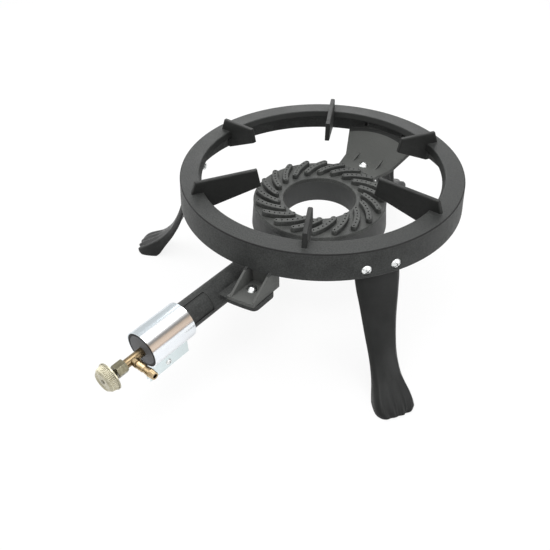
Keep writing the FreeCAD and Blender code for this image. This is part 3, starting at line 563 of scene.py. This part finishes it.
def makeShank(name, lean):
    path = legStations(lean)
    count = 2 * (len(legs["columns"]) - 1)
    step = 0.01
    bpy.ops.object.select_all(action="DESELECT")
    bpy.ops.mesh.primitive_grid_add(x_subdivisions=2, y_subdivisions=count, size=2, location=(0, 0, 0))
    cage = startObject(name)
    bpy.ops.object.mode_set(mode="EDIT")
    bpy.ops.mesh.select_all(action="SELECT")
    for _ in path[1:]:
        bpy.ops.mesh.extrude_region_move(TRANSFORM_OT_translate={"value": (0, 0, -step)})
    bpy.ops.mesh.select_all(action="SELECT")
    bpy.ops.mesh.normals_make_consistent(inside=False)
    mesh = bmesh.from_edit_mesh(cage.data)
    mesh.verts.index_update()
    seats = {vertex.index: (round(-vertex.co.z / step), round(1 - vertex.co.x),
                            round((vertex.co.y + 1) * count / 2) - count // 2) for vertex in mesh.verts}
    starts = {vertex.index: vertex.co.copy() for vertex in mesh.verts}
    for k, (place, normal, half, depth, groove) in enumerate(path):
        corner = min(legs["corner"], depth * legs["cornerShare"])
        for column in range(-count // 2, count // 2 + 1):
            share = legs["columns"][abs(column)]
            side = math.copysign(share * half, column)
            front = legs["crown"] * share ** 2 + (corner if share == 1.0 else 0.0)
            if abs(column) in legs["grooves"]:
                front += groove
            elif groove and share < 1.0:
                front -= legs["toe"]
            for row, inward in enumerate((front, (front + depth) / 2, depth)):
                chosen = {index for index, seat in seats.items() if seat == (k, row, column)}
                if chosen:
                    target = place + Vector((0, side, 0)) - normal * inward
                    shift(cage, chosen, target - starts[min(chosen)])
    first, last = legs["hollow"]
    inner = {index for index, (k, row, column) in seats.items()
             if first <= k <= last and row == 2 and abs(column) <= count // 2 - 2}
    pick(cage, inner)
    bpy.ops.mesh.inset(thickness=legs["hollowRim"], depth=-legs["hollowDepth"])
    creaseLines(cage, seats, count // 2)
    bpy.ops.object.mode_set(mode="OBJECT")
    smooth = cage.modifiers.new("smooth", "SUBSURF")
    smooth.levels = smooth.render_levels = legs["levels"]
    bpy.ops.object.modifier_apply(modifier="smooth")
    return cage


def creaseLines(cage, seats, last):
    mesh = bmesh.from_edit_mesh(cage.data)
    mesh.select_mode = {"EDGE"}
    for edge in mesh.edges:
        ends = [seats.get(vertex.index) for vertex in edge.verts]
        along = all(ends) and ends[0][0] != ends[1][0] and abs(ends[0][2]) == last
        rim = all(ends) and ends[0][0] == ends[1][0] == len(legs["stations"]) - 1
        edge.select = bool(along or rim)
    mesh.select_flush_mode()
    bmesh.update_edit_mesh(cage.data)
    bpy.ops.transform.edge_crease(value=legs["crease"])


def makePad(name, azimuth):
    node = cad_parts[name]
    pad = bpy.data.objects.new(name + "Pad", node.data.copy())
    bpy.context.scene.collection.objects.link(pad)
    pad.data.transform(Matrix.Rotation(-math.radians(azimuth), 4, "Z"))
    bpy.ops.object.select_all(action="DESELECT")
    bpy.context.view_layer.objects.active = pad
    pad.select_set(True)
    bpy.ops.object.mode_set(mode="EDIT")
    bpy.ops.mesh.select_all(action="SELECT")
    bpy.ops.mesh.remove_doubles(threshold=legs["weld"])
    bpy.ops.mesh.bisect(plane_co=(0, 0, legs["cut"]), plane_no=(0, 0, 1), clear_inner=True, use_fill=True)
    bpy.ops.object.mode_set(mode="OBJECT")
    return pad


def addLeg(name, azimuth, lean, finish):
    shank = makeShank(name + "Shape", lean)
    pad = makePad(name, azimuth)
    shank.data.materials.append(finish)
    pad.data.materials.clear()
    pad.data.materials.append(finish)
    bpy.ops.object.select_all(action="DESELECT")
    pad.select_set(True)
    shank.select_set(True)
    bpy.context.view_layer.objects.active = shank
    bpy.ops.object.join()
    bpy.ops.object.shade_smooth_by_angle(angle=math.radians(legs["smoothAngle"]))
    bpy.ops.object.mode_set(mode="EDIT")
    bpy.ops.mesh.select_all(action="SELECT")
    bpy.ops.mesh.bisect(plane_co=(0, 0, legs["sole"]), plane_no=(0, 0, 1), clear_inner=True, use_fill=True)
    bpy.ops.object.mode_set(mode="OBJECT")
    shank.data.transform(Matrix.Rotation(math.radians(azimuth), 4, "Z"))
    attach(shank, "stand")
    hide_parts(name)


legFinish = {
    "grain": 900.0, "bump": 0.2, "fleck": 0.10, "roughness": 0.36, "pits": 0.1,
    "colour": (0.0085, 0.009, 0.0088), "patch": (0.0125, 0.0132, 0.0128), "edge": (0.045, 0.046, 0.046),
    "edgeRadius": 0.0016, "specular": 0.20, "shadeShare": 0.4,
}
legIron = castIron("legIron", legFinish)
for legName, (legAzimuth, legLean) in legs["places"].items():
    addLeg(legName, legAzimuth, legLean, legIron)
print("legs modelled:", len(legs["places"]))

studio = {
    "floor": 10.0,
    "floorShare": 0.86,           # how much of the floor's white the camera sees unshaded
    "floorTone": (0.86, 0.86, 0.86),
    "floorRoughness": 0.9,
    "floorSpecular": 0.1,
    "air": 0.32,                  # level of the room's light
    "aim": (0, 0, 0.1),           # where every lamp points
    "lamps": {
        "back": {"place": (-0.95, 1.20, 0.95), "size": 1.3, "power": 15.0},
        "top": {"place": (0.1, -0.1, 1.7), "size": 1.4, "power": 24.0},
        "front": {"place": (0.35, -1.35, 1.35), "size": 1.2, "power": 5.0},
        "left": {"place": (-1.4, -0.6, 0.7), "size": 1.0, "power": 9.0},
        "right": {"place": (1.35, 0.1, 0.7), "size": 0.9, "power": 6.0},
    },
}


def addLamp(name, values):
    data = bpy.data.lights.new(name, "AREA")
    data.size = values["size"]
    data.energy = values["power"]
    lamp = bpy.data.objects.new(name, data)
    bpy.context.scene.collection.objects.link(lamp)
    place = Vector(values["place"])
    turn = (place - Vector(studio["aim"])).to_track_quat("Z", "Y")
    lamp.matrix_world = Matrix.Translation(place) @ turn.to_matrix().to_4x4()


def addStudio():
    bpy.ops.mesh.primitive_plane_add(size=studio["floor"], location=(0, 0, 0))
    floor = bpy.context.object
    floor.name = "floor"
    material, tree = newMaterial("paleFloor")
    shader = tree.nodes["Principled BSDF"]
    shader.inputs["Base Color"].default_value = (*studio["floorTone"], 1.0)
    shader.inputs["Roughness"].default_value = studio["floorRoughness"]
    shader.inputs["Specular IOR Level"].default_value = studio["floorSpecular"]
    glow = addNode(tree, "Emission")
    glow.inputs["Color"].default_value = (1.0, 1.0, 1.0, 1.0)
    path = addNode(tree, "LightPath")
    blend = addNode(tree, "MixShader")
    put(tree, mathNode(tree, "MULTIPLY", path.outputs["Is Camera Ray"], studio["floorShare"]), blend.inputs[0])
    put(tree, shader.outputs[0], blend.inputs[1])
    put(tree, glow.outputs[0], blend.inputs[2])
    put(tree, blend.outputs[0], tree.nodes["Material Output"].inputs["Surface"])
    floor.data.materials.append(material)
    for name, values in studio["lamps"].items():
        addLamp(name + "Lamp", values)
    world = bpy.data.worlds.new("room")
    bpy.context.scene.world = world
    world.use_nodes = True
    tree = world.node_tree
    path = addNode(tree, "LightPath")
    seen = mathNode(tree, "MAXIMUM", path.outputs["Is Camera Ray"], path.outputs["Is Glossy Ray"])
    seen = mathNode(tree, "MAXIMUM", seen, path.outputs["Is Transmission Ray"])
    level = mathNode(tree, "MULTIPLY_ADD", seen, 1.0 - studio["air"], studio["air"])
    back = tree.nodes["Background"]
    back.inputs["Color"].default_value = (1.0, 1.0, 1.0, 1.0)
    put(tree, level, back.inputs["Strength"])


addStudio()
bpy.context.scene.view_settings.view_transform = "Standard"
print("studio set")
